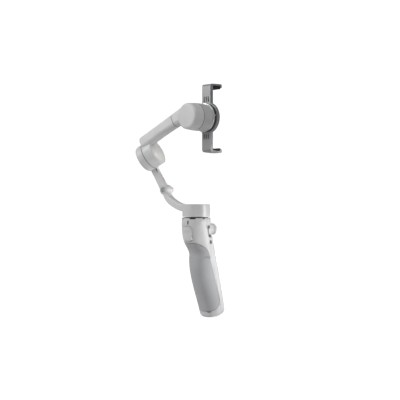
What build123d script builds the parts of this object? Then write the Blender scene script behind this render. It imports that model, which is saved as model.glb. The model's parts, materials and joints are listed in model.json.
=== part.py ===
from build123d import *
import os
from math import cos, radians, sin

# Folding three-axis phone stabilizer. Millimetres, +Z up, +Y is the side the phone's back faces,
# +X is the side the arms stand on. The model is drawn about the pan axis, with z = 0 on top of the
# pan motor, and moved at the end so that the origin is the mouth of the tripod thread.

# --- driving dimensions -------------------------------------------------------------------------
MOTOR_R = 17.0            # outer radius of the pan motor
PAN_TALL = 15.5           # height of the pan motor housing
WALL = 1.4                # casting wall of the motor housings
GAP = 0.2                 # half of the open seam between two turning housings
SEAM = 0.2                # half of the seam between the handle's shells
ARM_SEAM = 0.17           # half of the seam across the upper arm
LEAN = 14.5               # lean of the grip and of the extension rod, degrees
KNEE_Z = -26.6            # height at which the rod axis crosses the pan axis
RIM_Z = -18.4             # top rim of the handle
GRIP_LONG = 114.5         # knee to handle bottom, along the rod axis
SHELL = 2.2               # wall of the handle shells
SLEEVE = 1.3              # thickness of the soft sleeve
FIT = 0.05                # radial running clearance

ROD_TOP = -7.0            # top of the guide tube, along the rod axis
ROD_TUBE = 94.0           # length of each rod tube
ROD_RADII = (4.5, 5.5, 6.5)   # outer radii of stages 3, 2 and 1
TUBE_WALL = 0.5
COLLAR = 6.0              # length of the bearing collars on the tubes
HEAD_Z = -23.4            # height of the head's tilt pin
EAR_R = 4.6

HINGE = (55.0, 18.0)      # fold pin in the XZ plane
HINGE_R = 6.5
ARM_W = 9.2               # section of the lower and middle arms
ARM_DIR = 54.7            # direction of both arms at the fold, degrees above +X

TILT_C = (77.5, 8.0, 61.4)        # centre of the tilt motor's seam
TILT_AXIS = (-0.82, -0.33, 0.47)
TILT_R = 17.5
TILT_OUT = 11.5           # length of the stator half
TILT_IN = 13.4            # length of the rotor half

ROLL_Z = 106.8            # height of the roll axis
ROLL_R = 16.9
ROLL_SEAM = 2.6
ROLL_CAP = 17.2           # outer face of the roll motor cap
ROLL_END = -12.3          # rotor end, where the magnetic seat starts
UPPER_W = 15.0            # upper arm section across Y
UPPER_H = 16.6            # upper arm section in its own plane

SEAT_Y = -14.75           # end of the magnetic seat, where the clamp lands
PLATE_Y = -17.5           # front of the clamp plate
REST_Y = -22.4            # plane the phone's back rests on
DISC_R = 19.5
RAIL_HALF = 32.0          # half height of the clamp's rail
JAW_START = 16.5          # inner end of a jaw, from the roll axis
JAW_HALF = 7.3            # half width of a jaw
JAW_IN = 5.5              # how far a jaw slides in from rest
JAW_DEEP = -38.0          # far end of the jaw lips
THREAD_R = 2.55           # wall of the 1/4 inch tripod thread
THREAD_LONG = 9.4         # length of the threaded insert, tapped right through

RAIL = Vector(0, sin(radians(LEAN)), cos(radians(LEAN)))
KNEE = Vector(0, 0, KNEE_Z)
MOUTH = KNEE - RAIL * GRIP_LONG
ROD = Plane(origin=KNEE, x_dir=(1, 0, 0), z_dir=RAIL)
TILT = Plane(origin=TILT_C, x_dir=(-0.374, 0.928, 0), z_dir=TILT_AXIS)
ROLL = Plane(origin=(0, 0, ROLL_Z), x_dir=(1, 0, 0), z_dir=(0, 1, 0))
FOLD = Plane(origin=(HINGE[0], 0, HINGE[1]), x_dir=(1, 0, 0), z_dir=(0, 1, 0))
ARM_X, ARM_Z = cos(radians(ARM_DIR)), sin(radians(ARM_DIR))
parts = {}


# --- helpers ------------------------------------------------------------------------------------
def drum(plane, radius, low, high):
    """Cylinder about a plane's normal, from low to high along it."""
    return plane * Pos(0, 0, low) * Cylinder(radius, high - low, align=(Align.CENTER, Align.CENTER, Align.MIN))


def ring(plane, outer, inner, low, high):
    """Tube about a plane's normal."""
    return drum(plane, outer, low, high) - drum(plane, inner, low - 1, high + 1)


def block(x, y, z):
    """Box from three (low, high) pairs."""
    size = [pair[1] - pair[0] for pair in (x, y, z)]
    middle = [(pair[1] + pair[0]) / 2 for pair in (x, y, z)]
    return Pos(*middle) * Box(*size)


def slab(points, low, high, plane=Plane.YZ):
    """Prism of a polygon drawn on a plane, between two distances along its normal."""
    face = make_face(Polyline(*points, close=True))
    return extrude(plane.offset(low) * face, high - low)


def soften(solid, edges, radii):
    """Fillet with the first radius the edges take."""
    for radius in radii if edges else ():
        try:
            rounded = fillet(edges, radius)
            if rounded.is_valid:
                return rounded
        except ValueError:
            continue
    return solid


def reach(plane, edge):
    """Distance of an edge's middle from a plane's axis."""
    return (edge @ 0.5 - plane.origin).cross(plane.z_dir).length


def biggest(shape):
    """The largest solid of a shape."""
    return max(shape.solids(), key=lambda solid: solid.volume)


# --- handle body --------------------------------------------------------------------------------
# Horizontal sections of the handle: height, centre, half width, front reach, back reach.
HANDLE_SECTIONS = (
    (RIM_Z, 0.0, 17.5, 17.5, 18.2),
    (-31.0, -0.5, 17.5, 18.2, 18.2),
    (-43.0, -3.8, 17.3, 19.7, 18.2),
    (-51.0, -6.3, 16.9, 17.9, 18.1),
    (-58.0, -8.1, 16.5, 14.2, 18.0),
    (-66.0, -10.2, 16.6, 15.7, 18.0),
    (-80.0, -13.8, 16.7, 19.0, 17.9),
    (-108.0, -21.0, 16.5, 18.1, 17.6),
    (-146.0, -30.9, 15.2, 15.8, 16.4),
)
# First and last section of each of the three stretches the handle is lofted in.
STRETCHES = ((0, 3), (2, 6), (5, 9))


def handle_form(offset):
    """Solid handle, with its skin moved inwards by offset."""
    body = None
    for first, last in STRETCHES:
        rings = []
        for height, centre, half, front, back in HANDLE_SECTIONS[first:last]:
            side = half - offset
            arcs = EllipticalCenterArc((0, 0), side, front - offset, start_angle=0, arc_size=180)
            arcs += EllipticalCenterArc((0, 0), side, back - offset, start_angle=180, arc_size=180)
            rings.append(Plane(origin=(0, centre, height)) * make_face(arcs))
        stretch = loft(rings)
        body = stretch if body is None else body + stretch
    return body


def below(height):
    """Everything past a cut square to the rod axis, height below the knee."""
    return ROD * Pos(0, 0, -height) * Box(120, 120, 80, align=(Align.CENTER, Align.CENTER, Align.MAX))


def seam_line(shift):
    """Side view line of the seam between front and rear shells, top to bottom."""
    foot = KNEE - RAIL * (GRIP_LONG + 30)
    return [(shift, 10), (shift, KNEE_Z), (foot.Y + shift, foot.Z)]


def rear_zone(shift):
    """Prism that holds everything behind the seam."""
    return slab(seam_line(shift) + [(-90, -190), (-90, 10)], -60, 60)


def panel_zone(shift):
    """Prism that holds the control panel's share of the rear."""
    edge = [(30, -48.0 + shift), (-5.4, -49.5 + shift), (-8.6, -53.2 + shift), (-14, -55.5 + shift)]
    return slab([(30, 20), (30, -48.0 + shift)] + edge[1:] + [(-60, -60.0 + shift), (-60, 20)], -60, 60)


def sleeve_zone(gap):
    """Prism, seen from the side, of the soft sleeve's outline."""
    front = KNEE - RAIL * 40.6
    low = KNEE - RAIL * 107.2
    lean = Vector(0, cos(radians(LEAN)), -sin(radians(LEAN)))
    side = front + lean * (2.6 + gap)
    foot = low + lean * (2.6 + gap)
    toe = low + lean * (30.0)
    outline = Line((side.Y, side.Z), (foot.Y, foot.Z + 12))
    outline += Spline((foot.Y, foot.Z + 12), (foot.Y + 3.6, foot.Z + 2.6 + gap), (foot.Y + 12.0, foot.Z - 1.4 + gap))
    outline += Polyline((foot.Y + 12.0, foot.Z - 1.4 + gap), (toe.Y, toe.Z + gap), (40, -47.6 - gap), (12.0, -47.6 - gap))
    outline += Spline((12.0, -47.6 - gap), (2.6, -51.6 - gap), (-4.4, -57.2 - gap), (side.Y, side.Z))
    return extrude(Plane.YZ.offset(-60) * make_face(outline), 120)


def conform(tool, out, deep):
    """A tool's share of the handle's skin, from out above it to deep below it."""
    return biggest((tool & handle_form(-out)) - handle_form(deep))


def pill(width, tall, deep, centre, plane_dir, upright=(0, 0, 1)):
    """Rounded rectangle prism that points along a direction."""
    plane = Plane(origin=centre, x_dir=upright, z_dir=plane_dir)
    corner = min(width, tall) / 2 - 0.01
    return extrude(plane * RectangleRounded(tall, width, min(corner, 3.6)), deep)


TRIGGER_AT = (0, 4.0, -35.9)
SLIDER_AT = (-8.0, -6.4, -33.5)
MODE_AT = (-8.0, -8.6, -46.4)
STICK_Z = -31.3
STICK_Y = -13.4           # joystick pivot
STICK_HOLE = 5.6
BUTTON_Z = -46.5
BUTTON_X = 5.4
BUTTON_R = 3.5
PORT_AT = (6.0, 3.6, -38.5)
WINDOW_AT = (-3.3, 4.0, -22.4)


def trigger_tool(grow):
    return pill(15.6 + grow, 17.6 + grow, 20, TRIGGER_AT, (0, 1, 0))


def slider_tool(grow, travel):
    return pill(5.2 + grow, 8.0 + grow + travel, 20, SLIDER_AT, (-1, 0, 0), RAIL)


def mode_tool(grow):
    return pill(2.6 + grow, 4.6 + grow, 20, MODE_AT, (-1, 0, 0), RAIL)


def port_tool(grow):
    return pill(3.3 + grow, 9.0 + grow, 20, PORT_AT, (1, 0, 0))


def window_tool(grow):
    return pill(1.8 + grow, 5.2 + grow, 20, WINDOW_AT, (0, 1, 0))


def button_tool(side, grow):
    plane = Plane(origin=(side * BUTTON_X, -12, BUTTON_Z), x_dir=(1, 0, 0), z_dir=(0, -1, 0))
    return drum(plane, BUTTON_R + grow, 0, 30)


def strap_tunnel():
    """Tunnel for a wrist strap, across the front of the handle's foot."""
    centre = MOUTH + RAIL * 5.0 + Vector(0, 12.6, 0)
    plane = Plane(origin=centre, x_dir=(0, 1, 0), z_dir=(1, 0, 0))
    return drum(plane, 1.5, -30, 30)


def rim_tabs():
    """Raised tabs of the docking rim, in the handle's own wall."""
    tabs = None
    for middle, half in ((90, 16), (148, 15), (186, 12), (32, 15), (-6, 12), (228, 13), (270, 15), (312, 13)):
        wedge = slab([(0, 0)] + [(30 * cos(radians(middle + a)), 30 * sin(radians(middle + a)))
                                 for a in (-half, 0, half)], RIM_Z - 1, RIM_Z + 1.4, Plane.XY)
        share = wedge & (drum(Plane.XY, 17.3, RIM_Z - 1, RIM_Z + 1.4) - drum(Plane.XY, 15.9, RIM_Z - 2, RIM_Z + 3))
        tabs = share if tabs is None else tabs + share
    return tabs


def handle_skin():
    """Outside of the handle, cut square to the rod axis and rounded at the foot."""
    skin = handle_form(0) - below(GRIP_LONG)
    foot_edges = skin.edges().group_by(Axis(MOUTH, RAIL))[0]
    return soften(skin, foot_edges, (4.0, 3.0, 2.0))


def make_front_shell(skin, hollow):
    """Front shell, thinner where the soft sleeve lies on it."""
    bore = drum(ROD, 5.0 + FIT, -GRIP_LONG - 1, -GRIP_LONG + 9.5)
    behind = rear_zone(-1.0 + SEAM)
    recess = (sleeve_zone(-0.45) & handle_form(-2)) - handle_form(SLEEVE + FIT)
    front = (skin - behind) - recess - hollow - bore - strap_tunnel()
    front = front - trigger_tool(0.9) - port_tool(0.3) - window_tool(0.1)
    parts["front_shell"] = biggest(front) + (rim_tabs() - behind)


def make_rear_shells(skin, hollow):
    """Control panel with its openings, and the rear cover under it."""
    rear = (skin & rear_zone(-1.0 - SEAM)) - hollow - drum(ROD, 5.0 + FIT, -GRIP_LONG - 1, -GRIP_LONG + 9.5)
    parts["rear_cover"] = biggest(rear - panel_zone(-FIT * 2))
    panel = rear & panel_zone(FIT / 2)
    panel = panel - slider_tool(0.6, 7.0) - mode_tool(0.4)
    panel = panel - drum(Plane(origin=(0, 0, STICK_Z), z_dir=(0, -1, 0)), STICK_HOLE, 8, 40)
    for side in (-1, 1):
        panel = panel - button_tool(side, 0.2)
    parts["control_panel"] = biggest(panel) + (rim_tabs() & rear_zone(-1.0 - SEAM))


def make_handle_shells():
    skin = handle_skin()
    hollow = handle_form(SHELL) - below(GRIP_LONG - 9.0)
    hollow += drum(Plane.XY, 15.2, RIM_Z - 6, RIM_Z + 1)
    make_front_shell(skin, hollow)
    make_rear_shells(skin, hollow)
    parts["grip_sleeve"] = biggest((skin & sleeve_zone(0)) - handle_form(SLEEVE))


def make_controls():
    trigger = biggest((trigger_tool(0) & handle_form(-0.9)) - handle_form(SHELL + 0.4))
    crease = biggest((block((-20, 20), (5, 30), (-33.3, -32.8)) & handle_form(-2)) - handle_form(-0.45))
    parts["trigger"] = trigger - crease
    parts["zoom_slider"] = biggest((slider_tool(0, 0) & handle_form(-0.9)) - handle_form(SHELL + 1.4))
    parts["mode_button"] = biggest((mode_tool(0) & handle_form(-0.3)) - handle_form(SHELL + 0.6))
    parts["record_button"] = biggest((button_tool(-1, 0) & handle_form(-0.7)) - handle_form(SHELL + 0.6))
    parts["switch_button"] = biggest((button_tool(1, 0) & handle_form(-0.7)) - handle_form(SHELL + 0.6))
    parts["status_window"] = conform(window_tool(0), -0.25, SHELL - 0.3)
    port = conform(port_tool(0.2), -0.1, SHELL + 3.5)
    cavity = pill(2.6, 8.3, 20, (PORT_AT[0] + 6.5, PORT_AT[1], PORT_AT[2]), (1, 0, 0))
    tongue = pill(0.8, 6.4, 9.0, (PORT_AT[0] + 6.3, PORT_AT[1], PORT_AT[2]), (1, 0, 0))
    parts["charging_port"] = biggest((port - cavity) + (tongue & handle_form(1.0)))


def make_joystick():
    """Two-axis joystick: a ring that tips about X carries a stick that swings about Z."""
    pivot = (0, STICK_Y, STICK_Z)
    axis = Plane(origin=pivot, x_dir=(1, 0, 0), z_dir=(0, -1, 0))
    swing = Plane(origin=pivot, z_dir=(0, 0, 1))
    plate = block((-6.8, 6.8), (-11.4, -10.4), (STICK_Z - 3.0, STICK_Z + 7.5))
    for side in (-1, 1):
        post = block((side * 5.9 - 0.8, side * 5.9 + 0.8), (-14.4, -11.0), (STICK_Z - 1.4, STICK_Z + 1.4))
        plate += post - drum(Plane(origin=pivot, z_dir=(1, 0, 0)), 0.65, -12, 12)
    parts["joystick_base"] = plate
    frame = block((-4.4, 4.4), (STICK_Y - 0.9, STICK_Y + 0.9), (STICK_Z - 3.9, STICK_Z + 3.9))
    frame = frame - drum(axis, 2.7, -9, 9) - drum(swing, 0.65, -12, 12)
    for side in (-1, 1):
        frame += drum(Plane(origin=pivot, z_dir=(side, 0, 0)), 0.6, 3.9, 6.6)
    parts["joystick_ring"] = frame
    flare = [(0, -1.2), (1.6, -1.2), (1.6, 5.6), (2.9, 6.8), (3.7, 8.8), (5.6, 13.0), (7.2, 14.2), (7.2, 15.2), (0, 15.2)]
    stick = axis * revolve(Plane.XZ * make_face(Polyline(*flare, close=True)), Axis.Z)
    parts["joystick_stick"] = stick + drum(swing, 0.6, -3.8, 3.8)
    dish = [(0, 15.25), (7.0, 15.25), (7.0, 15.9), (6.2, 16.5), (5.0, 16.0), (0, 15.6)]
    parts["joystick_pad"] = axis * revolve(Plane.XZ * make_face(Polyline(*dish, close=True)), Axis.Z)


def make_handle_insides():
    guide_low = -GRIP_LONG + 9.6
    guide = ring(ROD, 7.6, ROD_RADII[2] + 0.3, guide_low, ROD_TOP)
    guide += ring(ROD, 7.6, ROD_RADII[2] + FIT, ROD_TOP - COLLAR, ROD_TOP)
    parts["rod_guide"] = guide
    parts["dock_ring"] = ring(Plane.XY, 15.1, 10.4, RIM_Z - 2.8, RIM_Z - 0.8)
    parts["tripod_insert"] = ring(ROD, 5.0, THREAD_R, -GRIP_LONG, -GRIP_LONG + THREAD_LONG)
    cell_bay = ROD * Pos(0, 14.1, -75) * Box(23, 12, 50)
    parts["battery_pack"] = biggest(cell_bay & handle_form(SHELL + 1.2))
    board = block((-8.5, 8.5), (8.4, 9.2), (-40, -22))
    board += block((-2.5, 2.5), (9.2, 10.6), (-36, -31)) + block((-6.5, -3.5), (9.2, 10.2), (-29, -25))
    parts["main_board"] = board
    buttons = block((-7.6, 7.6), (-15.8, -15.0), (-51, -42))
    for side in (-1, 1):
        buttons += block((side * BUTTON_X - 1.1, side * BUTTON_X + 1.1), (-16.6, -15.8), (-48, -45.4))
    parts["button_board"] = buttons
    lights = None
    for step in range(4):
        dot = drum(Plane(origin=(-4.5 + 3 * step, -14, -22.4), z_dir=(0, -1, 0)), 0.55, 0, 30)
        share = conform(dot, 0.1, 1.0)
        lights = share if lights is None else lights + share
    parts["battery_lights"] = lights
    dots = parts["battery_lights"]
    parts["control_panel"] = parts["control_panel"] - dots


def make_rod():
    """Three telescoping tubes, the smallest on top; each carries a collar and a foot ring."""
    for number, radius in zip((3, 2, 1), ROD_RADII):
        inner = radius - TUBE_WALL
        step = 0.35 * (number - 1)
        top, foot = ROD_TOP + 0.4 + step, ROD_TOP + step - ROD_TUBE
        tube = ring(ROD, radius, inner, foot, top)
        if number > 1:
            tube += ring(ROD, radius + 0.5 - FIT, inner, foot, foot + COLLAR)
        else:
            tube += ring(ROD, radius + 0.25, inner, foot, foot + COLLAR)
        if number < 3:
            tube += ring(ROD, radius, ROD_RADII[2 - number] + FIT, top - COLLAR, top)
        parts["rod_stage_%d" % number] = tube


def pin_plane():
    at = KNEE + RAIL * ((HEAD_Z - KNEE_Z) / cos(radians(LEAN)))
    return Plane(origin=at, x_dir=(0, 1, 0), z_dir=(1, 0, 0))


def make_head():
    pin = pin_plane()
    stem = drum(ROD, ROD_RADII[0] - TUBE_WALL - 0.03, -34, -4.0)
    bridge = ROD * Pos(0, 0, -3.7) * Box(14.4, 8.4, 3.6)
    head = stem + bridge
    for side in (-1, 1):
        ear = drum(pin, EAR_R, 3.8, 7.2) if side > 0 else drum(pin, EAR_R, -7.2, -3.8)
        web = ROD * Pos(side * 5.5, 0, 0.5) * Box(3.4, 8.4, 6.0)
        head += ear + web
    head -= drum(pin, 1.62, -12, 12)
    parts["rod_head"] = head
    parts["head_pin"] = drum(pin, 1.6, -7.4, 7.4)
    tongue = drum(pin, 4.4, -3.6, 3.6) + block((-3.6, 3.6), (-3.6, 5.2), (HEAD_Z, RIM_Z + 0.4))
    tongue -= drum(pin, 1.6 + FIT, -12, 12)
    base = drum(Plane.XY, 15.0, RIM_Z + 0.2, RIM_Z + 2.2) + tongue
    base += ring(Plane.XY, 6.3, 5.0, RIM_Z + 1, -3.4)
    base += drum(Plane.XY, 6.3, RIM_Z + 1, -15.6)
    parts["pan_base"] = base


def toothed(plane, outer, inner, low, high, slots=12):
    """Motor stator: a hub ring with T-shaped teeth wound with wire."""
    core = ring(plane, outer, inner, low, high)
    for step in range(slots):
        slot = Pos((outer + inner) / 2 + 1.2, 0, 0) * Box(outer - inner - 2.0, 1.3, 60)
        core -= plane * Rot(0, 0, step * 360 / slots) * slot
    return core


def make_pan():
    up = Plane.XY
    parts["pan_stator"] = toothed(up, 12.8, 6.4, -13.4, -4.6)
    bearings = ring(up, 4.95, 2.6, -15.5, -13.0) + ring(up, 4.95, 2.6, -6.2, -3.7)
    parts["pan_bearings"] = bearings
    parts["pan_shaft"] = drum(up, 2.55, -15.4, -WALL - 0.02)
    parts["pan_magnets"] = ring(up, 15.4, 13.3, -13.8, -3.6)


def bar_section(plane, wide, tall, corner):
    return plane * RectangleRounded(tall, wide, corner)


def make_lower_arm():
    """Pan rotor housing and the lower arm that sweeps up to the fold hinge, in one casting."""
    path = Spline((12.0, 0, -5.4), (28.5, 0, -3.2), (38.4, 0, 0.7), (46.2, 0, 5.2), (53.2, 0, 13.6),
                  tangents=((1, 0, 0.04), (ARM_X, 0, ARM_Z)))
    start = Plane(origin=path @ 0, x_dir=(0, 1, 0), z_dir=path % 0)
    arm = sweep(bar_section(start, ARM_W, ARM_W, 2.2), path)
    cup = drum(Plane.XY, MOTOR_R, -PAN_TALL, 0)
    cup = soften(cup, cup.edges().filter_by(GeomType.CIRCLE).sort_by(Axis.Z)[-1:], (0.9,))
    outside = arm - drum(Plane.XY, MOTOR_R - 0.4, -30, 30)
    body = cup + biggest(outside)
    near = body.edges().filter_by(lambda e: 16.5 < reach(Plane.XY, e) < 17.6 and -11 < (e @ 0.5).Z < -0.6)
    body = soften(body, near, (1.2, 0.8))
    body -= drum(Plane.XY, MOTOR_R - WALL, -PAN_TALL - 1, -WALL)
    body -= drum(FOLD, HINGE_R + 0.35, -20, 20)
    body -= tang_pocket(-1)
    parts["lower_arm"] = biggest(body)


def along_arm(low, high, across, half_y, shift=0.0):
    """Box that runs along the arm's direction from the fold pin."""
    box = Pos((low + high) / 2, -shift, 0) * Box(high - low, across, 2 * half_y)
    return FOLD * Rot(0, 0, -ARM_DIR) * box


def knuckle_tang(way):
    """Tang that holds a knuckle in its arm."""
    low, high = (6.6, 14.0) if way > 0 else (-14.0, -6.6)
    return along_arm(low, high, 5.0, 3.0, -1.2)


def tang_pocket(way):
    """Pocket in an arm for a knuckle's tang and web."""
    low, high = (3.0, 14.03) if way > 0 else (-14.03, -3.0)
    return along_arm(low, high, 5.06, 3.03, -1.2)


def make_fold():
    fork = None
    for low, high in ((2.35, 4.5), (-4.5, -2.35)):
        cheek = drum(FOLD, HINGE_R, low, high)
        web = along_arm(-7.4, 0, 5.0, 3.0, -1.2) & drum(FOLD, 30, min(low, high), max(low, high))
        fork = cheek + web if fork is None else fork + cheek + web
    fork += knuckle_tang(-1) + along_arm(-7.6, -6.75, 5.0, 3.0, -1.2)
    fork -= drum(FOLD, 2.0 + FIT, -20, 20)
    parts["lower_knuckle"] = fork
    lug = drum(FOLD, HINGE_R, -2.25, 2.25) + (along_arm(0, 7.4, 5.0, 2.25, -1.2))
    lug += knuckle_tang(1) - drum(FOLD, HINGE_R + 0.2, -20, 20)
    lug -= drum(FOLD, 2.0 + FIT, -20, 20)
    parts["upper_knuckle"] = lug
    pin = drum(FOLD, 2.0, -4.6, 4.6) + drum(FOLD, 3.4, 4.55, 5.1)
    pin -= FOLD * Pos(0, 0, 5.1) * Box(4.4, 0.8, 0.7)
    parts["fold_pin"] = pin
    knob = drum(FOLD, 3.3, -11.4, -7.2) + drum(FOLD, 2.4, -7.2, -4.7)
    knob = soften(knob, knob.edges().filter_by(GeomType.CIRCLE).sort_by(Axis.Y)[:1], (0.7,))
    parts["fold_lock_knob"] = knob


def make_middle_arm():
    """Straight middle arm and the tilt motor's stator cup, in one casting."""
    cup = drum(TILT, TILT_R, -TILT_OUT, -GAP)
    far = cup.edges().filter_by(GeomType.CIRCLE).group_by(Axis(TILT.origin, TILT.z_dir))[0]
    cup = soften(cup, far, (5.0, 4.0))
    arm = along_arm(5.0, 42.0, ARM_W, ARM_W / 2, -1.3)
    arm = soften(arm, arm.edges().filter_by(lambda e: abs(e.length - 37.0) < 0.01), (2.2,))
    arm -= drum(TILT, TILT_R - 0.6, -40, 40) + drum(TILT, TILT_R + 0.5, -0.6, 60)
    body = cup + arm.solids().sort_by(Axis.Z)[0]
    near = body.edges().filter_by(lambda e: abs(reach(TILT, e) - TILT_R) < 0.15 and e.length < 16)
    body = soften(body, near, (1.5, 1.0, 0.6))
    body -= drum(TILT, TILT_R - WALL, -TILT_OUT + WALL, 5)
    body -= drum(FOLD, HINGE_R + 0.35, -20, 20)
    body -= tang_pocket(1)
    parts["middle_arm"] = biggest(body)
    parts["tilt_stator"] = toothed(TILT, 12.8, 6.0, -TILT_OUT + WALL + 0.05, -1.2)
    parts["tilt_bearing"] = ring(TILT, 5.9, 2.6, -TILT_OUT + WALL + 0.05, -3.0)
    parts["tilt_shaft"] = drum(TILT, 2.55, -TILT_OUT + WALL + 0.3, TILT_IN - 2.4)
    parts["tilt_magnets"] = ring(TILT, 15.9, 13.4, 0.6, TILT_IN - 3.0)


UPPER_NODES = ((81.5, 16.0, 75.5), (43.7, 12.3, 94.6), (2.6, 8.9, 113.3))
UPPER_CUT = Plane(origin=(24.8, 10.9, 102.6), z_dir=(-0.905, -0.07, 0.42))


def upper_bar():
    """Rounded bar from the tilt rotor to the roll motor."""
    first, last = Vector(*UPPER_NODES[0]), Vector(*UPPER_NODES[2])
    run = (last - first).normalized()
    faces = []
    for node, wider, taller in zip(UPPER_NODES, (0.4, -0.6, -0.6), (0.4, -0.6, 1.8)):
        at = Vector(*node)
        if node == UPPER_NODES[0]:
            at = at - run * 14
        plane = Plane(origin=at, x_dir=(0, 1, 0), z_dir=run)
        faces.append(plane * RectangleRounded(UPPER_W + wider, UPPER_H + taller, 5.2))
    return loft(faces)


def make_upper_arm():
    """Tilt rotor housing and the upper arm, in one casting."""
    cup = drum(TILT, TILT_R, GAP, TILT_IN)
    far = cup.edges().filter_by(GeomType.CIRCLE).group_by(Axis(TILT.origin, TILT.z_dir))[-1]
    cup = soften(cup, far, (1.4,))
    bar = upper_bar()
    bar -= TILT * Pos(0, 0, GAP) * Box(200, 200, 60, align=(Align.CENTER, Align.CENTER, Align.MAX))
    cut = bar.edges().filter_by(lambda e: abs((e @ 0.5 - TILT.origin).dot(TILT.z_dir) - GAP) < 0.02)
    bar = soften(bar, cut, (6.0, 5.0, 4.0, 3.0, 2.0))
    ahead = Plane(UPPER_CUT.origin, z_dir=UPPER_CUT.z_dir)
    bar -= ahead * Pos(0, 0, -ARM_SEAM) * Box(120, 120, 90, align=(Align.CENTER, Align.CENTER, Align.MIN))
    body = cup + biggest(bar)
    body -= drum(TILT, TILT_R - WALL, -5, TILT_IN - 2.2)
    body -= drum(TILT, 15.2, TILT_IN - 1.2, TILT_IN + 0.5)
    parts["upper_arm"] = biggest(body)
    cap = drum(TILT, 15.1, TILT_IN - 1.18, TILT_IN + 0.1)
    cap = soften(cap, cap.edges().group_by(Axis(TILT.origin, TILT.z_dir))[-1], (0.4,))
    parts["tilt_end_cap"] = cap


def make_roll():
    profile = [(0, ROLL_SEAM + GAP), (ROLL_R, ROLL_SEAM + GAP), (ROLL_R - 1.1, ROLL_CAP), (0, ROLL_CAP)]
    shell = ROLL * revolve(Plane.XZ * make_face(Polyline(*profile, close=True)), Axis.Z)
    shell = soften(shell, shell.edges().filter_by(GeomType.CIRCLE).sort_by(Axis.Y)[-1:], (3.4, 2.5))
    bar = upper_bar()
    back = UPPER_CUT
    bar -= back * Pos(0, 0, ARM_SEAM) * Box(120, 120, 90, align=(Align.CENTER, Align.CENTER, Align.MAX))
    bar -= block((-60, 60), (-60, ROLL_SEAM + GAP), (0, 200))
    body = shell + biggest(bar)
    body -= drum(ROLL, ROLL_R - WALL - 0.9, -5, ROLL_CAP - WALL)
    parts["roll_arm"] = biggest(body)
    parts["roll_stator"] = toothed(ROLL, 12.4, 6.0, ROLL_SEAM + 0.8, ROLL_CAP - WALL - 2.5)
    parts["roll_bearing"] = ring(ROLL, 5.9, 2.6, ROLL_SEAM + 1.0, ROLL_CAP - WALL - 0.1)
    rotor = drum(ROLL, ROLL_R, ROLL_END, ROLL_SEAM - GAP)
    rotor = soften(rotor, rotor.edges().filter_by(GeomType.CIRCLE).sort_by(Axis.Y)[:1], (0.6,))
    rotor -= drum(ROLL, ROLL_R - WALL, ROLL_END + 2.0, 20)
    parts["roll_rotor"] = rotor
    parts["roll_magnets"] = ring(ROLL, 15.4, 13.2, ROLL_END + 2.1, ROLL_SEAM - 0.6)
    parts["roll_shaft"] = drum(ROLL, 2.55, ROLL_END + 2.05, ROLL_CAP - WALL - 1.0)
    seat = drum(ROLL, 17.7, SEAT_Y, ROLL_END - 0.02)
    seat = soften(seat, seat.edges().filter_by(GeomType.CIRCLE), (0.5, 0.3))
    for step in range(4):
        seat -= ROLL * Rot(0, 0, 45 + 90 * step) * Pos(10.5, 0, SEAT_Y) * Cylinder(3.0, 3.0)
    parts["magnet_seat"] = seat
    magnets = None
    for step in range(4):
        magnet = ROLL * Rot(0, 0, 45 + 90 * step) * Pos(10.5, 0, SEAT_Y + 0.75) * Cylinder(2.95, 1.4)
        magnets = magnet if magnets is None else magnets + magnet
    parts["seat_magnets"] = magnets


def make_clamp():
    """Disc with a hollow rail, a steel plate that lands on the magnetic seat, and two jaws on the rail."""
    base = drum(ROLL, DISC_R, -22.1, PLATE_Y)
    base = soften(base, base.edges().filter_by(GeomType.CIRCLE), (0.9, 0.6))
    for side in (-1, 1):
        notch = sorted((ROLL_Z + side * (JAW_START - JAW_IN - 0.3), ROLL_Z + side * 22))
        base -= block((-JAW_HALF - 0.15, JAW_HALF + 0.15), (-23, -17), notch)
    base += block((-6.6, 6.6), (-21.4, -18.3), (ROLL_Z - RAIL_HALF, ROLL_Z + RAIL_HALF))
    base -= block((-6.0, 6.0), (-20.8, -18.9), (ROLL_Z - 60, ROLL_Z + 60))
    base += drum(ROLL, 1.4, -21.0, -18.6)
    for side in (-1, 1):
        base -= block((-4.6, 4.6), (-18.95, -18.2), sorted((ROLL_Z + side * 13.0, ROLL_Z + side * 30.0)))
    pads = None
    for side in (-1, 1):
        across = sorted((side * 9.0, side * 14.0))
        base -= block(across, (-22.3, -21.9), (ROLL_Z - 9, ROLL_Z + 9))
        inner = sorted((side * 9.1, side * 13.9))
        pad = block(inner, (REST_Y, -21.92), (ROLL_Z - 8.9, ROLL_Z + 8.9))
        pads = pad if pads is None else pads + pad
    parts["clamp_base"] = base
    parts["rest_pads"] = pads
    plate = drum(ROLL, 17.6, PLATE_Y + 0.02, SEAT_Y - 0.05)
    parts["clamp_plate"] = soften(plate, plate.edges().filter_by(GeomType.CIRCLE), (0.4, 0.2))
    make_jaw("upper", 1)
    make_jaw("lower", -1)
    pinion = ring(ROLL, 2.8, 1.45, -20.7, -19.0)
    for step in range(12):
        pinion -= ROLL * Rot(0, 0, 30 * step) * Pos(2.9, 0, -20) * Box(0.7, 0.5, 5)
    parts["centring_pinion"] = pinion


def mirrored(points, side):
    return [(y, ROLL_Z + side * z) for y, z in points]


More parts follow.
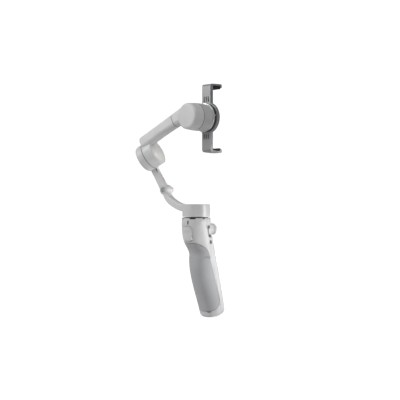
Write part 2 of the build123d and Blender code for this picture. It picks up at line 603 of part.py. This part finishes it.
def make_jaw(name, side):
    """One jaw: a channel round the rail, a squared shoulder, a hooked lip, and a rack inside the rail."""
    hook = [(-17.5, JAW_START), (-17.5, 39.4), (-18.3, 41.4), (-20.4, 42.3), (-30.0, 42.8), (-36.8, 43.0),
            (JAW_DEEP, 42.2), (JAW_DEEP, 38.8), (-36.6, 38.2), (-35.8, 39.2), (-34.6, 40.7), (-22.6, 40.3),
            (-22.1, 39.6), (-22.1, JAW_START)]
    jaw = slab(mirrored(hook, side), -JAW_HALF, JAW_HALF)
    far = jaw.edges().filter_by(Axis.X).filter_by(lambda e: abs(e.center().Z - ROLL_Z) > 30)
    jaw = soften(jaw, far, (0.5, 0.3))
    jaw -= block((-6.75, 6.75), (-21.5, -18.2), sorted((ROLL_Z + side * (JAW_START - 1), ROLL_Z + side * 38.0)))
    for step in (-3.5, 0, 3.5):
        along = sorted((ROLL_Z + side * 19.9, ROLL_Z + side * 26.3))
        jaw -= block((step - 0.8, step + 0.8), (-18.6, -17), along)
    across = (3.0, 5.9) if side > 0 else (-5.9, -3.0)
    rack = block(across, (-20.7, -19.0), sorted((ROLL_Z - side * 6.0, ROLL_Z + side * 38.2)))
    parts[name + "_jaw"] = jaw + rack
    pad = [(-22.75, 39.05), (-31.5, 39.05), (-34.3, 37.6), (-36.4, 36.9), (-36.6, 37.9), (-35.4, 38.9),
           (-34.3, 40.5), (-22.95, 40.1)]
    parts[name + "_jaw_pad"] = slab(mirrored(pad, side), -6.3, 6.3)


def build():
    make_handle_shells()
    make_controls()
    make_joystick()
    make_handle_insides()
    make_rod()
    make_head()
    make_pan()
    make_lower_arm()
    make_fold()
    make_middle_arm()
    make_upper_arm()
    make_roll()
    make_clamp()
    os.makedirs("parts", exist_ok=True)
    for name, shape in parts.items():
        export_step(Pos(*(-MOUTH)) * shape, "parts/%s.step" % name)


build()
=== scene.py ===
import json
import math
import bpy
import bmesh
from mathutils import Matrix, Vector


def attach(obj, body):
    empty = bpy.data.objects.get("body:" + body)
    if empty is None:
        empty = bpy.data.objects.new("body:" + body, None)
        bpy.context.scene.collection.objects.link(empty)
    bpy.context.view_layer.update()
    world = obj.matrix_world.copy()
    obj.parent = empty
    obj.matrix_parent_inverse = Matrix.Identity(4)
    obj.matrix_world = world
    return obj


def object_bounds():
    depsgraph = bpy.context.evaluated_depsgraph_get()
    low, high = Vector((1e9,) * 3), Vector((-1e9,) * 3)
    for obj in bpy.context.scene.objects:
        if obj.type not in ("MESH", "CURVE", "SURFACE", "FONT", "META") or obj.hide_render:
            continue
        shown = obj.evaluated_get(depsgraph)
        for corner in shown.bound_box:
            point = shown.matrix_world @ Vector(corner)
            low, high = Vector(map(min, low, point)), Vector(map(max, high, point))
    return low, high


# Looks of a folding three-axis phone stabilizer. Metres; at() takes millimetres about the pan axis,
# with z = 0 on top of the pan motor.
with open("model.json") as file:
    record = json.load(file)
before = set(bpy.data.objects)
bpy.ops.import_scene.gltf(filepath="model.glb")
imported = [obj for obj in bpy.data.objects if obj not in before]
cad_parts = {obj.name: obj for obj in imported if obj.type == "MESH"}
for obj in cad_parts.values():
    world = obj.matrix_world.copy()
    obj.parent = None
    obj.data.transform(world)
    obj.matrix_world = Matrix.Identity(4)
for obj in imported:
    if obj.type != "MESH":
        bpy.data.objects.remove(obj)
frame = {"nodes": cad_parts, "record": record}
cad_low, cad_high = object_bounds()
nodes = frame["nodes"]

# --- places and sizes, in millimetres about the pan axis, and one angle ---------------------------
PAN_Y, PAN_Z = 28.6687, 137.453        # the pan motor's top in the frame
TILT_SEAM = (77.5, 8.0, 61.4)          # centre of the tilt motor's seam
TILT_AXIS = (-0.82, -0.33, 0.47)
ARM_SEAM = (24.8, 10.9, 102.6)         # seam across the upper arm
ARM_AXIS = (-0.905, -0.07, 0.42)
ROLL_Z = 106.8                         # height of the roll axis, which runs along y
ROLL_SEAM_Y = 2.6
HANDLE_LEAN = math.radians(14.5)
HANDLE_TOP_Z = -26.6                   # where the handle's line meets the pan axis
HANDLE_LONG = 114.5                    # from there to the foot

KNOB = (55, -9.3, 18)                  # lock knob of the fold, about an axis along y
KNOB_R = 3.28                          # where its ribs stand
KNOB_RIBS = 26
PAD_RIBS = 8                           # ribs of each jaw pad
PAD_FIRST_Y = -23.9
PAD_PITCH = 0.98
PAD_FACE = 39.05                       # from the roll axis
STICK_FACE_Y = -29.85                  # face of the joystick's pad
STICK_Z = -31.3
DOT_RING_R = 6.1
DOTS = 14
SEAT_MARKS = ((16.9, -10.6), (17.6, -16.2))   # radius and y of each alignment mark
SHADE_STRIP_Y = -18.72                       # dark sheets inside the rail: painted shade behind its slots
SHADE_STRIP_MIDDLE = 21.5                    # from the roll axis
PORT = (15.2, 3.6, -38.5)              # middle of the charging socket's tongue
PORT_TONGUE = 0.41                     # half the tongue's thickness
PORT_CONTACTS = 7
PORT_PITCH = 0.72
THREAD_PITCH = 1.27
THREAD_TURNS = 6
THREAD_R, THREAD_CREST_R = 2.62, 2.46


def at(x, y, z):
    return Vector((x, y + PAN_Y, z + PAN_Z)) / 1000


# --- shader parts ---------------------------------------------------------------------------------
def linear(value):
    value /= 255
    return value / 12.92 if value <= 0.04045 else ((value + 0.055) / 1.055) ** 2.4


def tone(red, green, blue):
    return (linear(red), linear(green), linear(blue), 1)


def scaled(colour, factor, lift=0.0):
    return tuple(min(1.0, c * factor + lift) for c in colour[:3]) + (1,)


def node(tree, kind, **inputs):
    """New node; keyword names are its inputs, with _ for a space."""
    made = tree.nodes.new(kind)
    for key, value in inputs.items():
        made.inputs[key.replace("_", " ")].default_value = value
    return made


def ranged(tree, source, low, high, out_low, out_high):
    """Map a value from one range to another, clamped."""
    made = node(tree, "ShaderNodeMapRange", From_Min=low, From_Max=high, To_Min=out_low, To_Max=out_high)
    tree.links.new(source, made.inputs["Value"])
    return made.outputs["Result"]


def combined(tree, operation, first, second):
    made = tree.nodes.new("ShaderNodeMath")
    made.operation = operation
    tree.links.new(first, made.inputs[0])
    tree.links.new(second, made.inputs[1])
    return made.outputs[0]


def vector_maths(tree, operation, first):
    made = tree.nodes.new("ShaderNodeVectorMath")
    made.operation = operation
    tree.links.new(first, made.inputs[0])
    return made


def mixed(tree, factor, first, second):
    """Blend of two colours, each a tuple or a socket."""
    made = tree.nodes.new("ShaderNodeMix")
    made.data_type = "RGBA"
    tree.links.new(factor, made.inputs["Factor"])
    for socket, value in (("A", first), ("B", second)):
        target = [i for i in made.inputs if i.name == socket and i.type == "RGBA"][0]
        if isinstance(value, tuple):
            target.default_value = value
        else:
            tree.links.new(value, target)
    return [o for o in made.outputs if o.type == "RGBA"][0]


def noise(tree, where, scale, detail, rough=0.55):
    made = node(tree, "ShaderNodeTexNoise", Scale=scale, Detail=detail, Roughness=rough)
    tree.links.new(where, made.inputs["Vector"])
    return made.outputs["Fac"]


def near_seam(tree, where, place, out, half, extent):
    """1 within half of a plane through a place, as far as extent from it, and 0 elsewhere."""
    offset = vector_maths(tree, "SUBTRACT", where)
    offset.inputs[1].default_value = place
    across = vector_maths(tree, "DOT_PRODUCT", offset.outputs["Vector"])
    across.inputs[1].default_value = Vector(out).normalized()
    away = vector_maths(tree, "LENGTH", offset.outputs["Vector"])
    found = []
    for measure, limit in ((across, half), (away, extent)):
        size = tree.nodes.new("ShaderNodeMath")
        size.operation = "ABSOLUTE"
        tree.links.new(measure.outputs["Value"], size.inputs[0])
        found.append(ranged(tree, size.outputs[0], limit, limit * 1.1, 1, 0))
    return combined(tree, "MULTIPLY", *found)


def fine_grain(tree, where, grain, brushed, cells):
    """Height of the finish's grain: noise, stretched where brushed, or a pebbled pattern of cells."""
    if brushed:
        stretch = tree.nodes.new("ShaderNodeMapping")
        stretch.inputs["Scale"].default_value = brushed
        tree.links.new(where, stretch.inputs["Vector"])
        where = stretch.outputs["Vector"]
    if not cells:
        return noise(tree, where, grain, 2.0)
    pebble = tree.nodes.new("ShaderNodeTexVoronoi")
    pebble.inputs["Scale"].default_value = grain
    tree.links.new(where, pebble.inputs["Vector"])
    return pebble.outputs["Distance"]


def rounded_normal(tree, radius):
    made = node(tree, "ShaderNodeBevel", Radius=radius)
    made.samples = 4
    return made.outputs["Normal"]


def rubbed_edges(tree, patch, edge, wear):
    """Up to wear where an edge turns sharply, in patches."""
    turn = vector_maths(tree, "DOT_PRODUCT", rounded_normal(tree, edge * 1.6))
    flat = tree.nodes.new("ShaderNodeNewGeometry")
    tree.links.new(flat.outputs["Normal"], turn.inputs[1])
    sharp = ranged(tree, turn.outputs["Value"], 0.99, 0.86, 0, wear)
    return combined(tree, "MULTIPLY", sharp, ranged(tree, patch, 0.42, 0.6, 0.15, 1))


# Seams of the painted castings, lined in dark as painted shade where the gaps would be shadowed: a
# place, the plane's normal, half width and extent.
TILT_SHADE_LINE = (at(*TILT_SEAM), TILT_AXIS, 0.00042, 0.022)
ROLL_SHADE_LINE = (at(0, ROLL_SEAM_Y, ROLL_Z), (0, 1, 0), 0.00036, 0.02)
ARM_SHADE_LINE = (at(*ARM_SEAM), ARM_AXIS, 0.00036, 0.015)
# Grey of the painted shade in the seams.
SEAM_SHADE_TONE = tone(84, 84, 86)
LOOKS = {}


def surface(name, colour, rough, metal=0.0, grain=2600.0, depth=0.00003, spread=0.05, wear=0.5,
            worn=None, edge=0.00035, brushed=None, coat=0.0, cells=False, shaded_seams=()):
    """Procedural finish: colour and gloss vary slowly, fine grain stands proud, edges are rubbed, and
    seams are lined with painted shade.
    """
    material = bpy.data.materials.new("look_" + name)
    LOOKS[name] = material
    material.use_nodes = True
    tree = material.node_tree
    shader = tree.nodes["Principled BSDF"]
    where = tree.nodes.new("ShaderNodeTexCoord").outputs["Object"]
    slow = noise(tree, where, 45.0, 4.0)
    patch = noise(tree, where, 240.0, 5.0, 0.65)
    fine = fine_grain(tree, where, grain, brushed, cells)
    dark, pale = scaled(colour, 1 - spread), scaled(colour, 1 + spread)
    base = mixed(tree, ranged(tree, slow, 0.3, 0.7, 0, 1), dark, pale)
    rubbed = rubbed_edges(tree, patch, edge, wear)
    skin = mixed(tree, rubbed, base, worn or scaled(colour, 1.12, 0.01))
    # Painted shade: a dark band along each given seam.
    for seam in shaded_seams:
        skin = mixed(tree, near_seam(tree, where, *seam), skin, SEAM_SHADE_TONE)
    tree.links.new(skin, shader.inputs["Base Color"])
    broad = ranged(tree, patch, 0.3, 0.7, rough - 0.06, rough + 0.06)
    gloss = combined(tree, "ADD", broad, ranged(tree, fine, 0.3, 0.7, -0.03, 0.03))
    tree.links.new(gloss, shader.inputs["Roughness"])
    bump = node(tree, "ShaderNodeBump", Strength=0.6, Distance=depth)
    tree.links.new(fine, bump.inputs["Height"])
    tree.links.new(rounded_normal(tree, edge), bump.inputs["Normal"])
    tree.links.new(bump.outputs["Normal"], shader.inputs["Normal"])
    shader.inputs["Metallic"].default_value = metal
    shader.inputs["Coat Weight"].default_value = coat
    return material


# --- materials: plastics, paints and rubbers ------------------------------------------------------
surface("shell_plastic", tone(206, 206, 207), 0.46, grain=2400, depth=0.00004)
surface("arm_paint", tone(205, 205, 206), 0.4, grain=3200, coat=0.08,
        shaded_seams=(TILT_SHADE_LINE, ROLL_SHADE_LINE, ARM_SHADE_LINE))
CAP = surface("cap_paint", tone(214, 214, 214), 0.42, grain=3200, coat=0.05)
# Darker copy of the arm paint for the roll rotor: painted shade, standing in for the shadow a held phone
# casts on it.
SHADED_ROTOR_PAINT = surface("rotor_paint", tone(188, 188, 189), 0.4, grain=3200, coat=0.08, shaded_seams=(ROLL_SHADE_LINE,))
surface("soft_grip", tone(176, 177, 179), 0.72, grain=1900, depth=0.00009, spread=0.04, wear=0.3,
        cells=True)
STICK = surface("stick_paint", tone(236, 236, 236), 0.4, grain=3000)
surface("button_plastic", tone(210, 210, 211), 0.4, grain=3000)
DARK = surface("dark_plastic", tone(46, 46, 48), 0.5, depth=0.00005, wear=0.4, worn=tone(96, 96, 98))
surface("clamp_plastic", tone(140, 141, 143), 0.34, 0.4, wear=0.6, worn=tone(170, 170, 172))
PADS = surface("pad_rubber", tone(34, 34, 36), 0.78, grain=1700, depth=0.0001, wear=0.3,
               worn=tone(62, 62, 64))
surface("cell_wrap", tone(66, 84, 150), 0.3, grain=600, depth=0.00006)
surface("board_green", tone(24, 92, 52), 0.34, grain=800, depth=0.00006, spread=0.2)
surface("light_lens", tone(226, 230, 226), 0.25, grain=2400)
GLASS = surface("window_black", tone(16, 16, 18), 0.14, grain=1500, depth=0.00001, coat=0.6)
MARK = surface("mark_paint", tone(236, 236, 236), 0.5, depth=0.00002)

# --- materials: metals ----------------------------------------------------------------------------
HINGE = surface("hinge_metal", tone(204, 204, 206), 0.32, 0.6, grain=900, depth=0.00002, wear=0.7,
                worn=tone(232, 232, 232), brushed=(1, 6, 1))
surface("seat_chrome", tone(226, 226, 228), 0.12, 1.0, grain=500, depth=0.00001,
        worn=tone(245, 245, 246), brushed=(1, 8, 1))
surface("steel", tone(176, 177, 180), 0.26, 1.0, grain=800, depth=0.00002, wear=0.6,
        worn=tone(222, 222, 224), brushed=(5, 1, 1))
surface("rod_metal", tone(206, 207, 210), 0.3, 1.0, grain=1500, depth=0.00002, brushed=(1, 1, 0.1))
BRASS = surface("brass", tone(208, 176, 106), 0.28, 1.0, grain=900, depth=0.00002, brushed=(1, 1, 9))
surface("copper_winding", tone(176, 98, 52), 0.35, 0.9, grain=1500, depth=0.0002, brushed=(1, 1, 5))
surface("magnet", tone(150, 151, 156), 0.25, 1.0, grain=700, depth=0.00002)
GOLD = surface("contact_gold", tone(214, 178, 96), 0.22, 1.0, grain=900, depth=0.00001)
surface("plate_metal", tone(88, 88, 91), 0.16, 1.0, grain=600, depth=0.00001, wear=0.6,
        worn=tone(190, 190, 192), brushed=(1, 8, 1))

# Nodes whose finish differs from the rest of their material slot; the roll rotor's darker grey there is
# painted shade.
SPECIAL = {"status_window": GLASS, "tilt_end_cap": CAP, "roll_rotor": SHADED_ROTOR_PAINT, "joystick_stick": STICK}
for part in frame["record"]["subparts"]:
    shape = nodes[part["node"]]
    finish = SPECIAL.get(part["node"], LOOKS[part["material_slot"]])
    if not shape.material_slots:
        shape.data.materials.append(finish)
    for holder in shape.material_slots:
        holder.material = finish


# --- drawing of small pieces ----------------------------------------------------------------------
def piece(name, mesh, body, finish):
    """Turn a bmesh drawn in millimetres about the pan axis into a piece that rides on a body."""
    data = bpy.data.meshes.new(name)
    bmesh.ops.recalc_face_normals(mesh, faces=mesh.faces)
    mesh.transform(Matrix.Translation(at(0, 0, 0)) @ Matrix.Scale(0.001, 4))
    mesh.to_mesh(data)
    mesh.free()
    made = bpy.data.objects.new(name, data)
    bpy.context.scene.collection.objects.link(made)
    data.materials.append(finish)
    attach(made, body)


def facing(place, out, up=(0, 0, 1)):
    """Matrix whose z points out of a surface at a place."""
    z = Vector(out).normalized()
    x = Vector(up).cross(z)
    x = x.normalized() if x.length > 1e-6 else Vector((1, 0, 0))
    turn = Matrix((x, z.cross(x), z)).transposed().to_4x4()
    return Matrix.Translation(Vector(place)) @ turn


def add_bar(mesh, matrix, size, soft):
    """Box with rounded edges."""
    made = bmesh.ops.create_cube(mesh, size=1.0, matrix=matrix @ Matrix.Diagonal((*size, 1)))
    edges = {e for v in made["verts"] for e in v.link_edges}
    bmesh.ops.bevel(mesh, geom=list(edges), offset=soft, segments=2, affect="EDGES", profile=0.6)


def add_turned(mesh, matrix, profile, steps, closed=True):
    """Surface of revolution from (radius, height) pairs, about the matrix's z."""
    angles = [2 * math.pi * k / steps for k in range(steps)]
    rings = []
    for radius, height in profile:
        ring = [matrix @ Vector((radius * math.cos(a), radius * math.sin(a), height)) for a in angles]
        rings.append([mesh.verts.new(p) for p in ring])
    for first, second in zip(rings, rings[1:]):
        for k in range(steps):
            mesh.faces.new((first[k], first[(k + 1) % steps], second[(k + 1) % steps], second[k]))
    if closed:
        mesh.faces.new(rings[0][::-1])
        mesh.faces.new(rings[-1])


# --- small pieces the CAD leaves out --------------------------------------------------------------
def knob_ribs():
    ribs = bmesh.new()
    for k in range(KNOB_RIBS):
        turn = 2 * math.pi * k / KNOB_RIBS
        out = Vector((math.cos(turn), 0, math.sin(turn)))
        add_bar(ribs, facing(Vector(KNOB) + out * KNOB_R, out, (0, 1, 0)), (0.34, 2.9, 0.36), 0.08)
    piece("knob_ribs", ribs, "fold_knob", HINGE)


def pad_ribs(jaw, side):
    ribs = bmesh.new()
    for k in range(PAD_RIBS):
        place = (0, PAD_FIRST_Y - k * PAD_PITCH, ROLL_Z + side * PAD_FACE)
        add_bar(ribs, facing(place, (0, 0, -side), (0, 1, 0)), (10.6, 0.42, 0.5), 0.1)
    piece(jaw + "_pad_ribs", ribs, jaw + "_jaw", PADS)


def stick_dots():
    dots = bmesh.new()
    dome = [(0.42, 0), (0.4, 0.14), (0.26, 0.28), (0.06, 0.33)]
    for k in range(DOTS):
        turn = 2 * math.pi * k / DOTS
        place = (DOT_RING_R * math.cos(turn), STICK_FACE_Y, STICK_Z + DOT_RING_R * math.sin(turn))
        add_turned(dots, facing(place, (0, -1, 0)), dome, 14)
    piece("stick_dots", dots, "stick", DARK)


def alignment_marks():
    """Pale dots on the clamp's seat and disc, which show how the clamp goes on."""
    marks = bmesh.new()
    button = [(0.62, 0), (0.62, 0.1), (0.5, 0.16), (0.1, 0.17)]
    out = Vector((-1, 0, 0.12)).normalized()
    for radius, along in SEAT_MARKS:
        place = Vector((0, along, ROLL_Z)) + out * (radius - 0.06)
        add_turned(marks, facing(place, out), button, 20)
    piece("alignment_marks", marks, "clamp", MARK)


# Dark sheets just behind the rail's slots: painted shade in the hollow, so the slots read dark.
def rail_shade_strips():
    shade_strips = bmesh.new()
    for side in (-1, 1):
        place = (0, SHADE_STRIP_Y, ROLL_Z + side * SHADE_STRIP_MIDDLE)
        add_bar(shade_strips, facing(place, (0, -1, 0)), (8.6, 15.6, 0.3), 0.1)
    piece("rail_shade_strips", shade_strips, "clamp", DARK)


def port_contacts():
    contacts = bmesh.new()
    x, y, z = PORT
    for k in range(PORT_CONTACTS):
        for up in (-1, 1):
            place = (x, y + up * PORT_TONGUE, z + (k - PORT_CONTACTS // 2) * PORT_PITCH)
            add_bar(contacts, facing(place, (0, up, 0), (1, 0, 0)), (0.34, 1.6, 0.07), 0.02)
    piece("port_contacts", contacts, "handle", GOLD)


def thread_ridges():
    """Crests inside the tripod insert, as a stack of rings."""
    lean = Vector((0, math.sin(HANDLE_LEAN), math.cos(HANDLE_LEAN)))
    foot = Vector((0, 0, HANDLE_TOP_Z)) - lean * HANDLE_LONG
    crest = [(THREAD_R, -0.5), (THREAD_R, -0.3), (THREAD_CREST_R, -0.05),
             (THREAD_CREST_R, 0.05), (THREAD_R, 0.3), (THREAD_R, 0.5)]
    thread = bmesh.new()
    for k in range(THREAD_TURNS):
        place = foot + lean * (0.7 + THREAD_PITCH * k)
        add_turned(thread, facing(place, lean, (1, 0, 0)), crest, 36, closed=False)
    piece("thread_ridges", thread, "handle", BRASS)


knob_ribs()
pad_ribs("upper", 1)
pad_ribs("lower", -1)
stick_dots()
alignment_marks()
rail_shade_strips()
port_contacts()
thread_ridges()

# --- camera ---------------------------------------------------------------------------------------
camera = bpy.data.objects.new("camera", bpy.data.cameras.new("camera"))
bpy.context.scene.collection.objects.link(camera)
camera.location = at(-708.3, 701.7, 4.9)
camera.rotation_euler = Vector((1, -1, 0)).to_track_quat("-Z", "Y").to_euler()
camera.data.lens = 73.17
camera.data.sensor_width = 36
camera.data.clip_start = 0.05
bpy.context.scene.camera = camera


# --- lights: broad boxes, and narrow lamps on the grip and the tilt motor -------------------------
def lamp(name, place, aim, size, power, spread=180):
    made = bpy.data.objects.new(name, bpy.data.lights.new(name, "AREA"))
    made.data.shape = "DISK"
    made.data.size = size
    made.data.energy = power
    made.data.spread = math.radians(spread)
    made.location = place
    made.rotation_euler = (Vector(aim) - Vector(place)).to_track_quat("-Z", "Y").to_euler()
    bpy.context.scene.collection.objects.link(made)


middle = at(25, 0, 20)
grip_middle = at(0, -15, -75)
tilt_middle = at(77, 8, 61)
lamp("grip_key", grip_middle + Vector((-0.95, -0.62, 0.05)), grip_middle, 0.16, 0.085, 14)
lamp("left_box", middle + Vector((0.64, 0.92, 0.55)), at(40, 0, 60), 0.8, 6.5)
lamp("low_box", middle + Vector((-0.1, 1.1, -0.3)), at(60, 0, 40), 0.5, 1.6)
lamp("tilt_key", tilt_middle + Vector((-0.9, -0.35, -0.12)), tilt_middle, 0.05, 0.007, 6)
lamp("tilt_front", tilt_middle + Vector((-0.1, 0.9, -0.35)), tilt_middle, 0.05, 0.0035, 6)
lamp("top_box", middle + Vector((-0.5, 0.3, 1.3)), middle, 0.8, 4)


# --- white surroundings ---------------------------------------------------------------------------
def studio_world():
    """White to the camera, and a soft grey fill to everything else."""
    world = bpy.data.worlds.new("studio")
    bpy.context.scene.world = world
    world.use_nodes = True
    tree = world.node_tree
    background = tree.nodes["Background"]
    background.inputs["Strength"].default_value = 1.0
    seen = tree.nodes.new("ShaderNodeLightPath").outputs["Is Camera Ray"]
    fill = mixed(tree, seen, (0.36, 0.36, 0.362, 1), (1, 1, 1, 1))
    tree.links.new(fill, background.inputs["Color"])


def paper():
    """White paper that glows more to the camera than onto the object."""
    material = surface("paper", (0.6, 0.6, 0.6, 1), 0.9, grain=300, depth=0.00005, spread=0.01, wear=0.0)
    tree = material.node_tree
    shader = tree.nodes["Principled BSDF"]
    shader.inputs["Emission Color"].default_value = (1, 1, 1, 1)
    seen = tree.nodes.new("ShaderNodeLightPath").outputs["Is Camera Ray"]
    tree.links.new(ranged(tree, seen, 0, 1, 0.1, 0.8), shader.inputs["Emission Strength"])
    return material


def paper_sweep():
    """Sheet under the object that curves up behind it. Metres."""
    near, far, bend, top, half = 2.2, -0.9, 1.1, 3.6, 3.0
    curve = [math.radians(a) for a in range(6, 91, 6)]
    profile = [(near, 0.0), (far, 0.0)]
    profile += [(far - bend * math.sin(a), bend - bend * math.cos(a)) for a in curve]
    profile.append((far - bend, top))
    across = Vector((-1, -1, 0)).normalized()
    back = Vector((1, -1, 0)).normalized()
    lowest = cad_low.z - 0.001
    mesh = bmesh.new()
    rows = []
    for side in (-half, half):
        points = [across * side - back * d + Vector((0, 0, lowest + h)) for d, h in profile]
        rows.append([mesh.verts.new(p) for p in points])
    for k in range(len(profile) - 1):
        mesh.faces.new((rows[0][k], rows[0][k + 1], rows[1][k + 1], rows[1][k]))
    sheet = bpy.data.meshes.new("backdrop")
    mesh.to_mesh(sheet)
    mesh.free()
    for face in sheet.polygons:
        face.use_smooth = True
    made = bpy.data.objects.new("backdrop", sheet)
    bpy.context.scene.collection.objects.link(made)
    made.data.materials.append(paper())


studio_world()
paper_sweep()
bpy.context.scene.view_settings.view_transform = "Standard"
